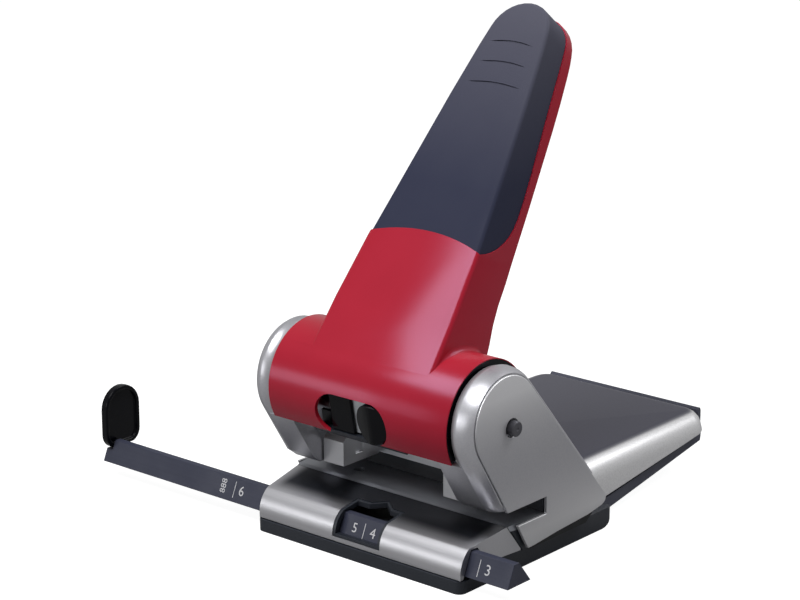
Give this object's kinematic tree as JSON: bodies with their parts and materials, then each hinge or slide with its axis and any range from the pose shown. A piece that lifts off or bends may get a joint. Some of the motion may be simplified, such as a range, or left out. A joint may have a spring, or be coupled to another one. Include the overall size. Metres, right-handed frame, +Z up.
{
  "type": "two-hole lever punch",
  "caption": "Heavy-duty two-hole paper punch with a long leaning hand lever, locking knob, paper rail with end stop, open paper slot and hinged chip tray.",
  "frame": {"origin": "on the table, half way across the punch, at the front edge of its foot", "axes": "+X to the user's right along the paper rail, +Y from the front edge to the back, +Z up"},
  "size_m": [0.282, 0.2282, 0.2625],
  "materials": {
    "black_moulding": "fine matt grain",
    "pad_rubber": "matt",
    "zinc_steel": "zinc plated, satin",
    "frame_steel": "rolled sheet, satin",
    "silver_deck": "satin",
    "silver_cover": "silver lacquer, satin",
    "silver_cheek": "silver grey lacquer, fine sparkle",
    "silver_casing": "silver grey lacquer, fine sparkle",
    "guide_metal": "die cast, satin",
    "tray_moulding": "matt",
    "red_lever": "red lacquer, satin gloss",
    "grip_moulding": "soft matt",
    "bush_brass": "turned",
    "tool_steel": "ground",
    "gloss_black": "glossy",
    "dark_steel": "phosphated",
    "spring_steel": "drawn wire",
    "rail_moulding": "fine matt grain"
  },
  "bodies": {
    "base": {"base_foot": "black_moulding", "foot_pads": "pad_rubber", "frame_screws": "zinc_steel", "base_frame": "frame_steel", "die_plate": "silver_deck", "front_cover": "silver_cover", "window_frame": "black_moulding", "rail_guide": "black_moulding", "rear_cover": "silver_cover", "back_stop": "black_moulding", "cheek_left": "silver_cheek", "cheek_right": "silver_cheek", "casing_left": "silver_casing", "casing_right": "silver_casing", "pivot_shaft": "zinc_steel", "shaft_clips": "dark_steel", "guide_bridge": "silver_casing", "guide_left": "guide_metal", "guide_right": "guide_metal", "tray_pin": "zinc_steel", "spring_left": "spring_steel", "spring_right": "spring_steel", "gap_filler_left": "black_moulding", "gap_filler_right": "black_moulding"},
    "tray": {"chip_tray": "tray_moulding"},
    "lever": {"lever_shell": "red_lever", "lever_grip": "grip_moulding", "grip_screws": "zinc_steel", "lever_frame": "frame_steel", "bush_left": "bush_brass", "bush_right": "bush_brass", "cam_left": "tool_steel", "cam_right": "tool_steel", "lock_carrier": "black_moulding", "drum_cap_left": "gloss_black", "drum_cap_right": "gloss_black"},
    "lock": {"lock_slider": "gloss_black", "lock_bolt": "zinc_steel", "lock_plate": "zinc_steel"},
    "punch_left": {"punch_left": "tool_steel"},
    "punch_right": {"punch_right": "tool_steel"},
    "rail": {"rail": "rail_moulding", "rail_stop": "gloss_black"}
  },
  "joints": [
    {"name": "lever_turn", "type": "hinge", "parent": "base", "child": "lever", "pos_m": [0, 0.032, 0.0786], "axis": [-1, 0, 0], "range_deg": [0, 45], "stiffness_Nm_per_rad": 2, "springref_deg": -34.38},
    {"name": "punch_left_slide", "type": "slide", "parent": "base", "child": "punch_left", "axis": [0, 0, -1], "range_m": [0, 0.0126], "deforming": ["spring_left"]},
    {"name": "punch_right_slide", "type": "slide", "parent": "base", "child": "punch_right", "axis": [0, 0, -1], "range_m": [0, 0.0126], "deforming": ["spring_right"]},
    {"name": "lock_slide", "type": "slide", "parent": "lever", "child": "lock", "axis": [-1, 0, 0], "range_m": [0, 0.024]},
    {"name": "rail_slide", "type": "slide", "parent": "base", "child": "rail", "axis": [1, 0, 0], "range_m": [-0.02, 0.105]},
    {"name": "tray_turn", "type": "hinge", "parent": "base", "child": "tray", "pos_m": [0, 0.03, 0.0056], "axis": [-1, 0, 0], "range_deg": [0, 50]}
  ],
  "couplings": [
    {"joint": "punch_left_slide", "follows": "lever_turn", "m_per_rad": 0.016},
    {"joint": "punch_right_slide", "follows": "lever_turn", "m_per_rad": 0.016}
  ]
}
